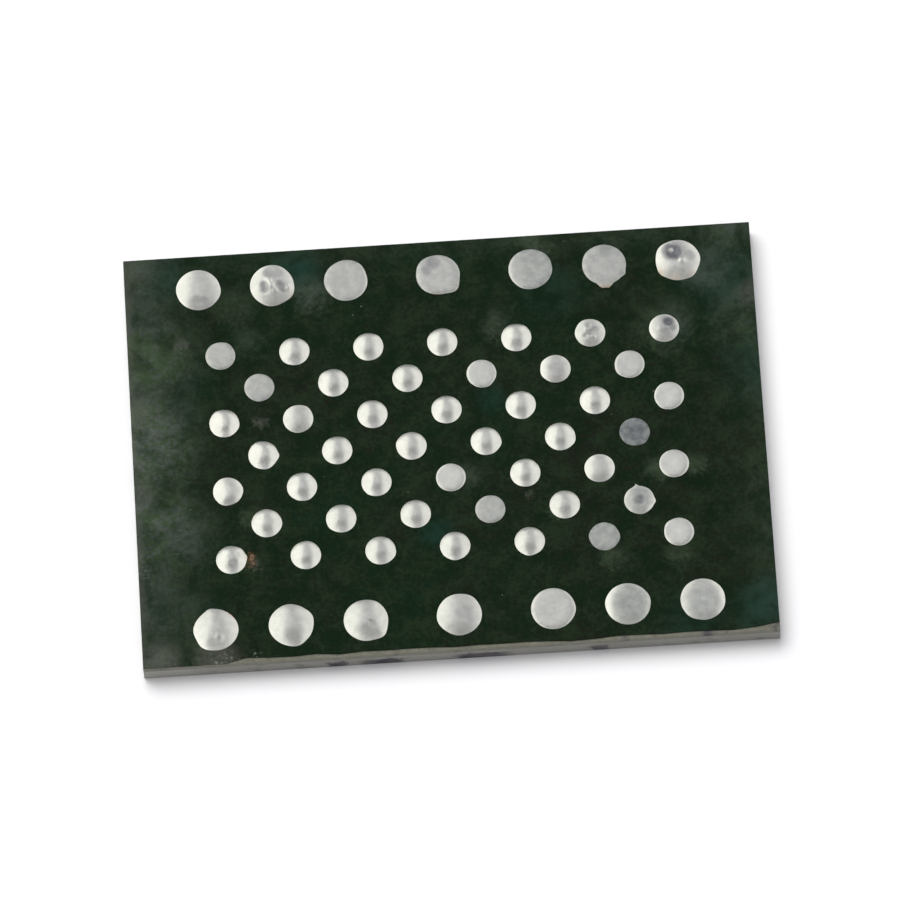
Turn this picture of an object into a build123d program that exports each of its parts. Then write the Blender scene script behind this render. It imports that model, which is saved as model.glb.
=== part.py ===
from build123d import *

import math
import os

# NAND flash memory chip in a thin land grid package, lying with its lands up.
# Origin: centre of the mould's outer face. X runs along the package, Z towards the lands.
# All sizes are in millimetres.

# Package body
BODY_LENGTH = 17.0
BODY_WIDTH = 12.0
MOULD_THICKNESS = 0.45
DIE_SIDE_MASK_THICKNESS = 0.02
CORE_THICKNESS = 0.15
LAND_SIDE_MASK_THICKNESS = 0.03

# Small lands: seven rows, with six lands in every second row
ROW_PITCH = 1.0
SMALL_ROWS = 7
SMALL_PITCH = 2.0
SMALL_OPENING = 0.80

# Large lands: one row along each long edge
LARGE_ROW_INSET = 1.0
LARGE_END_INSET = 2.0
LARGE_PITCH = 2.0
LARGE_STEPS = 3
LARGE_OPENING = 1.18

# Copper of the lands, with the solder mask over the rim
LAND_COPPER = 0.018
LAND_RIM = 0.05

# Solder left on the lands: how far each form stands above the mask
SMALL_RISE = {"dome": 0.16, "low": 0.10, "flat": 0.04}
LARGE_RISE = {"dome": 0.20, "low": 0.13, "flat": 0.05}
DOME_ARCS = 3
SOLDER_ROWS = (
    "low low flat flat flat flat low",
    "flat dome dome dome dome low low",
    "flat dome dome flat low flat",
    "dome low dome dome dome dome flat",
    "dome dome dome dome dome flat",
    "low dome dome flat dome low flat",
    "dome dome dome flat dome low",
    "dome dome dome dome dome flat flat",
    "dome dome dome low flat flat flat",
)

# Chipped edge of the land side mask: depth at even steps from its start to the far corner
CHIP_START = 2.15
CHIP_DEPTHS = (
    0.0, 0.15, 0.11, 0.10, 0.13, 0.08, 0.12, 0.11, 0.12, 0.11, 0.08, 0.10, 0.09,
    0.10, 0.08, 0.04, 0.06, 0.11, 0.10, 0.08, 0.10, 0.09, 0.07, 0.12, 0.22,
)

# Memory dies, stepped along X so that each one leaves its pads bare
DIE_COUNT = 4
DIE_THICKNESS = 0.05
FILM_THICKNESS = 0.015
DIE_SHIFT = 0.30
WIRE_END_MARGIN = 1.6
FAR_END_MARGIN = 1.9
DIE_SIDE_MARGIN = 1.5

# Bond wires, in one column for each pad of a die
PAD_PITCH = 0.30
PAD_INSET = 0.06
STITCH_INSET = 0.14
WIRE_DIAMETER = 0.025
BALL_DIAMETER = 0.05
BALL_HEIGHT = 0.012
STITCH_LENGTH = 0.05
STITCH_WIDTH = 0.04
STITCH_HEIGHT = 0.01
LOOP_HEIGHT = 0.065
LOOP_TOP_SHARE = 0.4
WIRE_SLOT_GAP = 0.005

# Copper on the die side of the core
TRACE_COPPER = 0.012
TRACE_WIDTH = 0.06
FINGER_WIDTH = 0.10
FINGER_LENGTH = 0.50
FINGER_STANDOFF = 0.65
FAN_START = 0.20
FAN_LENGTH = 0.60
BUS_WIDTH = 0.30
BUS_LEAD_WIDTH = 0.15
LANES_PER_ROW = 3
VIA_DIAMETER = 0.12
VIA_PAD_DIAMETER = 0.20
WINDOW_MARGIN = 0.08

# Levels along Z
MOULD_TOP = MOULD_THICKNESS
CORE_BOTTOM = MOULD_TOP + DIE_SIDE_MASK_THICKNESS
CORE_TOP = CORE_BOTTOM + CORE_THICKNESS
BODY_TOP = CORE_TOP + LAND_SIDE_MASK_THICKNESS
FINGER_FACE = CORE_BOTTOM - TRACE_COPPER

# Places along X and Y
SMALL_LAND = SMALL_OPENING + 2 * LAND_RIM
LARGE_LAND = LARGE_OPENING + 2 * LAND_RIM
LARGE_ROW_Y = BODY_WIDTH / 2 - LARGE_ROW_INSET
FIRST_PAD_EDGE = -BODY_LENGTH / 2 + WIRE_END_MARGIN
DIE_LENGTH = BODY_LENGTH - WIRE_END_MARGIN - FAR_END_MARGIN - (DIE_COUNT - 1) * DIE_SHIFT
DIE_WIDTH = BODY_WIDTH - 2 * DIE_SIDE_MARGIN
FINGER_X = FIRST_PAD_EDGE - FINGER_STANDOFF
FINGER_END = FINGER_X + FINGER_LENGTH / 2
LANE_COUNT = SMALL_ROWS * LANES_PER_ROW
COLUMN_COUNT = LANE_COUNT + 2


def slab(length, width, bottom, top, x=0.0, y=0.0):
    """A flat block between two levels."""
    return Pos(x, y, (bottom + top) / 2) * Box(length, width, top - bottom)


def disc(diameter, bottom, top, x, y):
    """An upright cylinder between two levels."""
    return Pos(x, y, (bottom + top) / 2) * Cylinder(diameter / 2, top - bottom)


def small_row(index):
    """Centres of one row of small lands, counted from the +Y side."""
    middle = SMALL_ROWS // 2
    count = SMALL_ROWS - index % 2
    y = (middle - index) * ROW_PITCH
    start = -(count - 1) / 2 * SMALL_PITCH
    return [(start + i * SMALL_PITCH, y) for i in range(count)]


def large_row(y):
    """Centres of one row of large lands: three from each end, and one in the middle."""
    end = BODY_LENGTH / 2 - LARGE_END_INSET
    right = [end - i * LARGE_PITCH for i in range(LARGE_STEPS)]
    return [(x, y) for x in sorted([-x for x in right] + [0.0] + right)]


def land_rows():
    """All rows from +Y to -Y: centres, mask opening, land diameter and solder rises."""
    small = [(small_row(i), SMALL_OPENING, SMALL_LAND, SMALL_RISE) for i in range(SMALL_ROWS)]
    first = (large_row(LARGE_ROW_Y), LARGE_OPENING, LARGE_LAND, LARGE_RISE)
    last = (large_row(-LARGE_ROW_Y), LARGE_OPENING, LARGE_LAND, LARGE_RISE)
    return [first] + small + [last]


def column_places():
    """Place of each wire column along Y: buses outside, signal lanes between them."""
    start = -(COLUMN_COUNT - 1) / 2 * PAD_PITCH
    return [start + i * PAD_PITCH for i in range(COLUMN_COUNT)]


def lane_places():
    """Y of each signal lane, and the land in its row that its via reaches."""
    lane_pitch = ROW_PITCH / LANES_PER_ROW
    places = []
    for i in range(LANE_COUNT):
        row = small_row(SMALL_ROWS - 1 - i // LANES_PER_ROW)
        y = (i - (LANE_COUNT - 1) / 2) * lane_pitch
        land = 2 * (LANES_PER_ROW - i % LANES_PER_ROW) - 1
        places.append((y, row[land][0]))
    return places


def die_edge(level):
    """X of the pad edge of a die, level 1 next to the core."""
    return FIRST_PAD_EDGE + (level - 1) * DIE_SHIFT


def die_face(level):
    """Z of the wired face of a die."""
    return MOULD_TOP - level * (FILM_THICKNESS + DIE_THICKNESS)


def die_layer(level, bottom, top):
    """A block with the outline of one die."""
    return slab(DIE_LENGTH, DIE_WIDTH, bottom, top, x=die_edge(level) + DIE_LENGTH / 2)


def nand_die(level):
    """One thinned silicon die."""
    return die_layer(level, die_face(level), die_face(level) + DIE_THICKNESS)


def die_attach_film(level):
    """The adhesive film on the back of one die."""
    back = die_face(level) + DIE_THICKNESS
    return die_layer(level, back, back + FILM_THICKNESS)


def wire_ends(level):
    """X of the ball, X of the stitch and Z of the face that takes the stitch."""
    ball_x = die_edge(level) + PAD_INSET
    if level == 1:
        return ball_x, FINGER_X, FINGER_FACE
    return ball_x, die_edge(level - 1) + STITCH_INSET, die_face(level - 1)


def bond_wire(level):
    """One wire: ball on its own die, low loop, stitch on the finger or the die before."""
    ball_x, stitch_x, stitch_face = wire_ends(level)
    face = die_face(level)
    peak = face - LOOP_HEIGHT
    knee_x = ball_x - (ball_x - stitch_x) * LOOP_TOP_SHARE
    path = Polyline(
        (ball_x, 0, face - BALL_HEIGHT / 2),
        (ball_x, 0, peak),
        (knee_x, 0, peak),
        (stitch_x, 0, stitch_face - STITCH_HEIGHT / 2),
    )
    section = Plane(origin=path @ 0, z_dir=path % 0) * Circle(WIRE_DIAMETER / 2)
    ball = disc(BALL_DIAMETER, face - BALL_HEIGHT, face, ball_x, 0)
    stitch = slab(STITCH_LENGTH, STITCH_WIDTH, stitch_face - STITCH_HEIGHT, stitch_face, x=stitch_x)
    past_face = slab(4 * STITCH_LENGTH, 4 * STITCH_WIDTH, stitch_face, stitch_face + BALL_DIAMETER,
                     x=stitch_x)
    wire = sweep(section, path=path, transition=Transition.RIGHT)
    return wire + ball + stitch - past_face


def bond_wires(level):
    """The wires of one die, one for each column."""
    wire = bond_wire(level)
    return Compound(children=[Pos(0, y, 0) * wire for y in column_places()])


def wire_slots():
    """The room that the wires of each column take in the mould."""
    width = BALL_DIAMETER + 2 * WIRE_SLOT_GAP
    profile = Sketch()
    for level in range(1, DIE_COUNT + 1):
        ball_x, stitch_x, stitch_face = wire_ends(level)
        left = stitch_x - STITCH_LENGTH / 2 - WIRE_SLOT_GAP
        right = ball_x + BALL_DIAMETER / 2 + WIRE_SLOT_GAP
        far = die_face(level) - LOOP_HEIGHT - WIRE_DIAMETER / 2 - WIRE_SLOT_GAP
        shoulder = stitch_face - BALL_DIAMETER / 2
        knee = ball_x - (ball_x - stitch_x) * LOOP_TOP_SHARE - 2 * WIRE_DIAMETER
        outline = Polyline((left, stitch_face), (left, shoulder), (knee, far), (right, far),
                           (right, die_face(level)), (ball_x, stitch_face), close=True)
        profile += make_face(outline)
    slot = extrude(Plane.XZ * profile, amount=width / 2, both=True)
    return [Pos(0, y, 0) * slot for y in column_places()]


def finger(y):
    """One bond finger."""
    return slab(FINGER_LENGTH, FINGER_WIDTH, FINGER_FACE, CORE_BOTTOM, x=FINGER_X, y=y)


def signal_trace(finger_y, lane_y, via_x):
    """A finger, its fanned track and the pad of its via."""
    fan_x = FINGER_END + FAN_START
    corners = [(FINGER_X, finger_y), (fan_x, finger_y), (fan_x + FAN_LENGTH, lane_y), (via_x, lane_y)]
    one_side = [(x, y + TRACE_WIDTH / 2) for x, y in corners]
    other_side = [(x, y - TRACE_WIDTH / 2) for x, y in reversed(corners)]
    outline = make_face(Polyline(*one_side, *other_side, close=True))
    track = Pos(0, 0, FINGER_FACE) * extrude(outline, amount=TRACE_COPPER)
    return finger(finger_y) + track + disc(VIA_PAD_DIAMETER, FINGER_FACE, CORE_BOTTOM, via_x, lane_y)


def supply_bus(finger_y, row_y):
    """A finger with a wide bus that joins one row of large lands."""
    row = large_row(row_y)
    turn_x = FINGER_END + BUS_LEAD_WIDTH / 2
    lead = slab(BUS_LEAD_WIDTH, abs(row_y - finger_y) + FINGER_WIDTH, FINGER_FACE, CORE_BOTTOM,
                x=turn_x, y=(row_y + finger_y) / 2)
    start = turn_x - BUS_LEAD_WIDTH / 2
    end = row[-1][0] + BUS_WIDTH / 2
    bar = slab(end - start, BUS_WIDTH, FINGER_FACE, CORE_BOTTOM, x=(start + end) / 2, y=row_y)
    return finger(finger_y) + lead + bar


def die_side_copper():
    """All tracks on the die side, each one piece of copper."""
    columns = column_places()
    signals = [signal_trace(y, *lane) for y, lane in zip(columns[1:-1], lane_places())]
    buses = [supply_bus(columns[0], -LARGE_ROW_Y), supply_bus(columns[-1], LARGE_ROW_Y)]
    return signals + buses


def via_barrels():
    """The copper-filled holes through the core, under the lands that they reach."""
    places = [(x, y) for y, x in lane_places()]
    places += large_row(LARGE_ROW_Y) + large_row(-LARGE_ROW_Y)
    return [disc(VIA_DIAMETER, CORE_BOTTOM, CORE_TOP, x, y) for x, y in places]


def substrate_core(vias):
    """The glass-fibre laminate, drilled for the vias."""
    return slab(BODY_LENGTH, BODY_WIDTH, CORE_BOTTOM, CORE_TOP) - vias


def finger_window(bottom, top):
    """The opening in the die side mask that leaves the bond fingers bare."""
    columns = column_places()
    width = columns[-1] - columns[0] + FINGER_WIDTH + 2 * WINDOW_MARGIN
    return slab(FINGER_LENGTH + 2 * WINDOW_MARGIN, width, bottom, top, x=FINGER_X)


def die_side_solder_mask(copper):
    """The mask under the die stack, formed over the tracks and open at the fingers."""
    sheet = slab(BODY_LENGTH, BODY_WIDTH, MOULD_TOP, CORE_BOTTOM)
    return sheet - finger_window(MOULD_TOP, CORE_BOTTOM) - copper


def mask_outline():
    """Outline of the land side mask, chipped along the -Y edge towards the +X corner."""
    right = BODY_LENGTH / 2
    front = -BODY_WIDTH / 2
    step = (BODY_LENGTH - CHIP_START) / (len(CHIP_DEPTHS) - 1)
    edge = [(CHIP_START - right + i * step, front + depth) for i, depth in enumerate(CHIP_DEPTHS)]
    corners = [(right, -front), (-right, -front), (-right, front)]
    return make_face(Polyline(*edge, *corners, close=True))


def land_side_solder_mask():
    """The mask over the rims of the lands, with one opening for each land."""
    sheet = Pos(0, 0, CORE_TOP) * extrude(mask_outline(), amount=LAND_SIDE_MASK_THICKNESS)
    cuts = []
    for places, opening, land, _ in land_rows():
        cuts += [disc(land, CORE_TOP, CORE_TOP + LAND_COPPER, x, y) for x, y in places]
        cuts += [disc(opening, CORE_TOP, BODY_TOP, x, y) for x, y in places]
    return sheet - cuts


def lands(row):
    """The copper lands of one row."""
    places, _, land, _ = row
    return [disc(land, CORE_TOP, CORE_TOP + LAND_COPPER, x, y) for x, y in places]


def dome_profile(radius, rise):
    """Outline of a round cap from its rim to its top, as arcs of one circle."""
    sphere = (radius ** 2 + rise ** 2) / (2 * rise)
    whole = math.asin(radius / sphere)
    drops = [whole * (1 - i / (2 * DOME_ARCS)) for i in range(2 * DOME_ARCS + 1)]
    points = [(sphere * math.sin(a), 0, BODY_TOP + rise - sphere * (1 - math.cos(a))) for a in drops]
    return [ThreePointArc(*points[i:i + 3]) for i in range(0, 2 * DOME_ARCS, 2)]


def plateau_profile(radius, rise):
    """Outline of a flat lump with a round shoulder, from its rim to its middle."""
    inner = radius - rise
    half = rise * math.sqrt(0.5)
    shoulder = ThreePointArc((radius, 0, BODY_TOP), (inner + half, 0, BODY_TOP + half),
                             (inner, 0, BODY_TOP + rise))
    return [shoulder, Line((inner, 0, BODY_TOP + rise), (0, 0, BODY_TOP + rise))]


def solder_deposit(opening, rise, form):
    """Solder that fills a mask opening, and rounds off or lies flat above it."""
    radius = opening / 2
    base = CORE_TOP + LAND_COPPER
    profile = plateau_profile(radius, rise) if form == "flat" else dome_profile(radius, rise)
    walls = Polyline((0, 0, BODY_TOP + rise), (0, 0, base), (radius, 0, base), (radius, 0, BODY_TOP))
    edges = [edge for line in (walls, *profile) for edge in line.edges()]
    return revolve(make_face(Wire(edges)), Axis.Z)


def solder(row, forms):
    """The solder deposits of one row."""
    places, opening, _, rises = row
    return [Pos(x, y, 0) * solder_deposit(opening, rises[form], form)
            for (x, y), form in zip(places, forms.split())]


def mould_cap(stack, copper):
    """The moulded body around the dies and wires, flush with the sawn edges."""
    body = slab(BODY_LENGTH, BODY_WIDTH, 0, MOULD_TOP) + finger_window(MOULD_TOP, CORE_BOTTOM)
    return body - stack - copper - wire_slots()


def build():
    """All nodes of the part, by name."""
    copper = die_side_copper()
    vias = via_barrels()
    levels = range(1, DIE_COUNT + 1)
    dies = {f"nand_die_{level}": nand_die(level) for level in levels}
    films = {f"die_attach_film_{level}": die_attach_film(level) for level in levels}
    wires = {f"bond_wires_{level}": bond_wires(level) for level in levels}
    stack = [*dies.values(), *films.values()]
    nodes = {
        "mould_cap": mould_cap(stack, copper),
        "die_side_solder_mask": die_side_solder_mask(copper),
        "substrate_core": substrate_core(vias),
        "land_side_solder_mask": land_side_solder_mask(),
        "die_side_copper": Compound(children=copper),
        "vias": Compound(children=vias),
    }
    nodes.update({**dies, **films, **wires})
    for number, (row, forms) in enumerate(zip(land_rows(), SOLDER_ROWS), start=1):
        nodes[f"lands_row_{number}"] = Compound(children=lands(row))
        nodes[f"solder_row_{number}"] = Compound(children=solder(row, forms))
    return nodes


def main():
    os.makedirs("parts", exist_ok=True)
    for name, shape in build().items():
        export_step(shape, f"parts/{name}.step")


main()
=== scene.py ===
"""Looks of a NAND flash chip that lies with its solder-coated lands up."""
import logging
import math
import random
from dataclasses import dataclass
from enum import Enum

import bpy
import numpy as np
from mathutils import Matrix, Vector


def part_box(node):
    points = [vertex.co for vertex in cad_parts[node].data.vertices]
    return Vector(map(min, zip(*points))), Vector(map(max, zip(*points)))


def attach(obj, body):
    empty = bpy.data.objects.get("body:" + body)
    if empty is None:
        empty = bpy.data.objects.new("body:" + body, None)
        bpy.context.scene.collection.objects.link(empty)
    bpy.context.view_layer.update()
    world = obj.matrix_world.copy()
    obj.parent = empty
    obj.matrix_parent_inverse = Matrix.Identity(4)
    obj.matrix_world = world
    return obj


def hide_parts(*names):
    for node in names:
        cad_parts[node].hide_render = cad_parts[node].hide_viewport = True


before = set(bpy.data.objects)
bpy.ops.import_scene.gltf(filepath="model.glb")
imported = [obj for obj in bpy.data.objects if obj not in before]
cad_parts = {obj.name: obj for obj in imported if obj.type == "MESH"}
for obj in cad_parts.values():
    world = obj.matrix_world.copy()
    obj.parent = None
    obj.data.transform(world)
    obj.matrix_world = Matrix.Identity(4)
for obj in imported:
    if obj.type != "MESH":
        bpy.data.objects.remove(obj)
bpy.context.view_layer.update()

LOG = logging.getLogger("chip")

# New pieces are modelled in millimetres and brought to metres when they are finished
MM = 0.001
# Object coordinates are in metres, so a pattern that is given in millimetres is scaled by this
PER_METRE = 1000.0
BODY = "root"

Pair = tuple[float, float]
Triple = tuple[float, float, float]
Colour = Triple


class Signal:
    """A value, colour or vector on its way through the nodes of a finish."""

    def __init__(self, desk: "NodeDesk", socket: bpy.types.NodeSocket) -> None:
        """Keep the socket that the signal leaves from."""
        self.desk = desk
        self.socket = socket

    def _math(self, operation: str, *values: "Signal | float") -> "Signal":
        """The result of one Math node that is fed with the values."""
        return self.desk.add("ShaderNodeMath", {"operation": operation}, dict(enumerate(values)))

    def __add__(self, other: "Signal | float") -> "Signal":
        """Sum."""
        return self._math("ADD", self, other)

    def __radd__(self, other: float) -> "Signal":
        """Sum, turned round."""
        return self._math("ADD", other, self)

    def __sub__(self, other: "Signal | float") -> "Signal":
        """Difference."""
        return self._math("SUBTRACT", self, other)

    def __rsub__(self, other: float) -> "Signal":
        """Difference, turned round."""
        return self._math("SUBTRACT", other, self)

    def __mul__(self, other: "Signal | float") -> "Signal":
        """Product."""
        return self._math("MULTIPLY", self, other)

    def size(self) -> "Signal":
        """The signal without its sign."""
        return self._math("ABSOLUTE", self)

    def most(self, other: "Signal | float") -> "Signal":
        """The larger of two signals."""
        return self._math("MAXIMUM", self, other)

    def between(self, low: float, high: float, peak: float = 1.0) -> "Signal":
        """Ease from 0 at the low value to the peak at the high one, which may be the smaller of the two."""
        return self.desk.add("ShaderNodeMapRange", {"interpolation_type": "SMOOTHSTEP"},
                             {"Value": self, "From Min": low, "From Max": high, "To Max": peak})


class NodeDesk:
    """The node tree of one finish."""

    def __init__(self, name: str) -> None:
        """Make the material with an empty tree, its shader and its output."""
        self.material = bpy.data.materials.new(name)
        self.material.use_nodes = True
        self.tree = self.material.node_tree
        self.tree.nodes.clear()
        self.shader = self.tree.nodes.new("ShaderNodeBsdfPrincipled")
        output = self.tree.nodes.new("ShaderNodeOutputMaterial")
        self.tree.links.new(self.shader.outputs[0], output.inputs["Surface"])

    def add(self, kind: str, settings: dict, inputs: dict, output: int | str = 0) -> Signal:
        """Add any node.

        Args:
            kind: the node's type.
            settings: its own settings, set first.
            inputs: values or signals, by socket name or number.
            output: the socket that the result leaves from.

        Returns:
            The signal of that socket.
        """
        node = self.tree.nodes.new(kind)
        for key, value in settings.items():
            setattr(node, key, value)
        for key, value in inputs.items():
            self.feed(node.inputs[key], value)
        return Signal(self, node.outputs[output])

    def feed(self, socket: bpy.types.NodeSocket, value: "Signal | float | tuple") -> None:
        """Link a signal to a socket, or set the socket to a value.

        Args:
            socket: the input to feed.
            value: a signal, a number or a colour.
        """
        if isinstance(value, Signal):
            self.tree.links.new(value.socket, socket)
        elif isinstance(value, tuple) and socket.type == "RGBA":
            socket.default_value = (*value, 1.0)
        else:
            socket.default_value = value

    def set(self, **inputs: "Signal | float | tuple") -> None:
        """Feed the shader; a socket's spaces are written as underscores."""
        for name, value in inputs.items():
            self.feed(self.shader.inputs[name.replace("_", " ")], value)

    def place(self, stretch: Triple = (1.0, 1.0, 1.0), shift: Triple = (0.0, 0.0, 0.0)) -> Signal:
        """The place on the piece, in millimetres.

        Args:
            stretch: how much denser a pattern gets along each axis.
            shift: how far the pattern is moved, in millimetres.

        Returns:
            The place as a vector.
        """
        own = self.add("ShaderNodeTexCoord", {}, {}, "Object")
        scale = tuple(PER_METRE * part for part in stretch)
        return self.add("ShaderNodeMapping", {}, {"Vector": own, "Location": shift, "Scale": scale})

    def parts(self, vector: Signal) -> tuple[Signal, Signal, Signal]:
        """The X, Y and Z of a vector."""
        node = self.tree.nodes.new("ShaderNodeSeparateXYZ")
        self.feed(node.inputs[0], vector)
        return tuple(Signal(self, socket) for socket in node.outputs)

    def noise(self, place: Signal, grain: float, detail: float = 3.0, rough: float = 0.5,
              warp: float = 0.0) -> Signal:
        """Cloudy noise between 0 and 1, with clouds of a size in millimetres."""
        return self.add("ShaderNodeTexNoise", {}, {
            "Vector": place, "Scale": 1.0 / grain, "Detail": detail, "Roughness": rough, "Distortion": warp})

    def spots(self, place: Signal, spacing: float, size: float) -> Signal:
        """Small round spots, 1 inside and 0 outside, with their size as a share of their spacing."""
        far = self.add("ShaderNodeTexVoronoi", {}, {"Vector": place, "Scale": 1.0 / spacing}, "Distance")
        return far.between(size, size * 0.4)

    def mix(self, first: "Signal | Colour", second: "Signal | Colour", share: "Signal | float") -> Signal:
        """Blend two colours: the first where the share is 0, the second where it is 1."""
        settings = {"data_type": "RGBA", "clamp_factor": True}
        return self.add("ShaderNodeMix", settings, {0: share, 6: first, 7: second}, 2)

    def bump(self, height: Signal, depth_mm: float) -> Signal:
        """The bent normal of a relief that runs from 0 to 1."""
        return self.add("ShaderNodeBump", {}, {"Height": height, "Strength": 1.0, "Distance": depth_mm * MM})


@dataclass(frozen=True)
class Finish:
    """A material that is painted with nodes; each kind of surface has its own painter."""

    name: str

    def make(self) -> bpy.types.Material:
        """Build the material."""
        desk = NodeDesk(self.name)
        self.paint(desk, desk.place())
        return desk.material

    def paint(self, desk: NodeDesk, place: Signal) -> None:
        """Feed the shader of the desk with what changes from place to place."""
        raise NotImplementedError


@dataclass(frozen=True)
class Smudge:
    """A round patch on the mask, in millimetres, that fades towards its radius: residue, dust, a tint or
    painted sheen.
    """

    x: float
    y: float
    radius: float
    strength: float
    full_share: float = 0.15

    def mask(self, desk: NodeDesk, face: Signal) -> Signal:
        """How strong the film is at a place on the mask, with Z left out."""
        away = desk.add("ShaderNodeVectorMath", {"operation": "DISTANCE"},
                        {0: face, 1: (self.x, self.y, 0.0)}, "Value")
        return away.between(self.radius, self.radius * self.full_share, self.strength)


def smudges(*rows: tuple[float, float, float, float]) -> tuple[Smudge, ...]:
    """Make smudges from rows of X, Y, radius and strength."""
    return tuple(Smudge(*row) for row in rows)


@dataclass(frozen=True)
class SolderMaskFinish(Finish):
    """Dark green mask with clouds of residue, a pale film towards the edges that is partly painted sheen,
    strongest at the -X edge, and specks of dust.
    """

    name: str = "solder_mask_green"
    green: Colour = (0.0022, 0.0102, 0.0028)
    brown: Colour = (0.0066, 0.0083, 0.0046)
    pale: Colour = (0.0102, 0.0228, 0.0092)
    teal: Colour = (0.0056, 0.0270, 0.0190)
    film_and_sheen: Colour = (0.0820, 0.0960, 0.0830)
    olive: Colour = (0.0460, 0.0760, 0.0370)
    grime: Colour = (0.1530, 0.1510, 0.1330)
    burn: Colour = (0.1050, 0.0580, 0.0270)
    dust: Colour = (0.2300, 0.2500, 0.2150)
    # Smudges of pale film and painted sheen: the four along the -X edge are painted sheen, the others are
    # patches of residue film
    film_and_sheen_smudges: tuple[Smudge, ...] = smudges(
        (-8.3, 3.0, 2.3, 0.72), (-8.5, 0.6, 2.4, 1.0), (-8.1, -2.0, 2.2, 0.75), (-7.9, -4.6, 1.9, 0.28),
        (-5.6, 4.4, 0.9, 0.22), (-3.5, 4.7, 0.8, 0.42), (-5.2, 3.4, 0.6, 0.18), (1.4, 3.4, 0.6, 0.36),
        (6.0, 3.1, 1.05, 0.48), (7.3, 4.7, 1.2, 0.4), (8.3, 3.3, 1.5, 0.36), (8.0, 5.8, 1.3, 0.44),
        (2.7, 5.9, 0.9, 0.4), (4.9, 5.9, 0.7, 0.3), (5.5, -1.1, 0.45, 0.55), (6.6, -1.0, 0.45, 0.5),
        (4.2, -3.6, 0.5, 0.4), (6.0, -3.6, 0.55, 0.4), (-5.4, -1.7, 0.4, 0.5), (0.5, -1.0, 0.5, 0.36),
        (2.8, -2.2, 0.3, 0.36),
    )
    teals: tuple[Smudge, ...] = smudges(
        (-3.8, 5.4, 0.9, 0.95), (-7.5, 5.5, 1.0, 0.6), (1.2, 1.2, 0.7, 0.6), (-0.5, -2.6, 0.7, 0.75),
        (8.3, -5.3, 1.3, 0.95), (8.4, 1.8, 1.5, 0.45), (6.2, -5.6, 1.2, 0.35), (3.0, 4.3, 1.3, 0.35),
        (7.7, 4.4, 1.4, 0.6),
    )
    grimes: tuple[Smudge, ...] = smudges(
        (-8.2, 5.7, 0.95, 0.2), (-6.5, -5.8, 0.85, 0.44), (-8.0, -5.7, 0.75, 0.42),
        (-5.35, -3.2, 0.26, 0.26), (-7.05, 3.45, 0.3, 0.3), (-5.03, 1.0, 0.22, 0.32),
        (2.05, -1.55, 0.2, 0.22), (8.45, 3.9, 0.6, 0.3), (-8.55, 1.5, 0.9, 0.36), (-8.55, -0.8, 0.8, 0.3),
    )
    flakes: tuple[Smudge, ...] = smudges(
        (-6.25, -5.85, 0.42, 1.0), (-5.5, -5.8, 0.25, 0.8), (-8.4, -3.2, 0.35, 0.4),
    )
    burns: tuple[Smudge, ...] = smudges(
        (-5.48, -2.98, 0.19, 0.8), (-5.42, -3.18, 0.22, 0.34), (-5.56, -3.16, 0.14, 0.4),
    )
    wander: float = 0.55

    def paint(self, desk: NodeDesk, place: Signal) -> None:
        """Paint the surface."""
        x, y, _ = desk.parts(place)
        broad = desk.noise(place, 2.4, 4.0, 0.62, 0.5)
        middle = desk.noise(place, 0.62, 4.0, 0.65, 0.4)
        fine = desk.noise(place, 0.11, 3.0, 0.65)
        other = desk.noise(desk.place(shift=(5.0, 9.0, 0.0)), 0.14, 3.0, 0.65)
        face = desk.add("ShaderNodeCombineXYZ", {}, {
            "X": x + (middle - 0.5) * self.wander + (other - 0.5) * self.wander,
            "Y": y + (broad - 0.5) * self.wander + (fine - 0.5) * self.wander,
        })
        patchy = broad * 0.35 + middle * 0.40 + other * 0.25
        colour = desk.mix(self.green, self.brown, patchy.between(0.44, 0.57))
        colour = desk.mix(colour, self.pale, (fine * 0.45 + middle * 0.55).between(0.42, 0.64, 0.90))
        teal = self._worst(desk, face, self.teals).most(patchy.between(0.46, 0.34, 0.60))
        colour = desk.mix(colour, self.teal, teal * middle.between(0.25, 0.60))
        # Painted sheen and film: the mask is made lighter towards the -X edge, where it is painted sheen,
        # and a little at the +X and +Y edges
        edge = x.between(-6.2, -8.5, 0.38).most(x.between(7.0, 8.6, 0.16)).most(y.between(5.2, 6.0, 0.12))
        film_and_sheen = self._worst(desk, face, self.film_and_sheen_smudges).most(edge)
        film_and_sheen = film_and_sheen * (middle.between(0.25, 0.68) * 0.75 + fine * 0.5)
        film = desk.mix(self.film_and_sheen, self.olive, (broad * 0.5 + other * 0.5).between(0.42, 0.59))
        colour = desk.mix(colour, film, film_and_sheen)
        grime = self._worst(desk, face, self.grimes).most(x.between(-8.2, -8.5, 0.26))
        colour = desk.mix(colour, self.grime, grime * (other * 0.6 + fine * 0.8))
        burnt = self._worst(desk, face, self.burns) * (fine * 0.8 + 0.6)
        colour = desk.mix(colour, self.burn, burnt)
        specks = desk.spots(place, 0.55, 0.055) * desk.noise(place, 1.7).between(0.52, 0.62, 0.4)
        flaked = self._worst(desk, face, self.flakes) * desk.spots(place, 0.12, 0.50)
        desk.set(
            Base_Color=desk.mix(colour, self.dust, specks.most(flaked * fine.between(0.45, 0.62))),
            Roughness=(0.36 + film_and_sheen * 0.25) + fine * 0.16,
            Normal=desk.bump(middle * 0.5 + fine * 0.5, 0.004),
            Specular_IOR_Level=0.07,
        )

    @staticmethod
    def _worst(desk: NodeDesk, face: Signal, several: tuple[Smudge, ...]) -> Signal:
        """The strongest of several smudges at each place.

        Args:
            desk: the node tree.
            face: the place on the mask.
            several: the smudges.

        Returns:
            Their strength.
        """
        worst = several[0].mask(desk, face)
        for smudge in several[1:]:
            worst = worst.most(smudge.mask(desk, face))
        return worst


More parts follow.
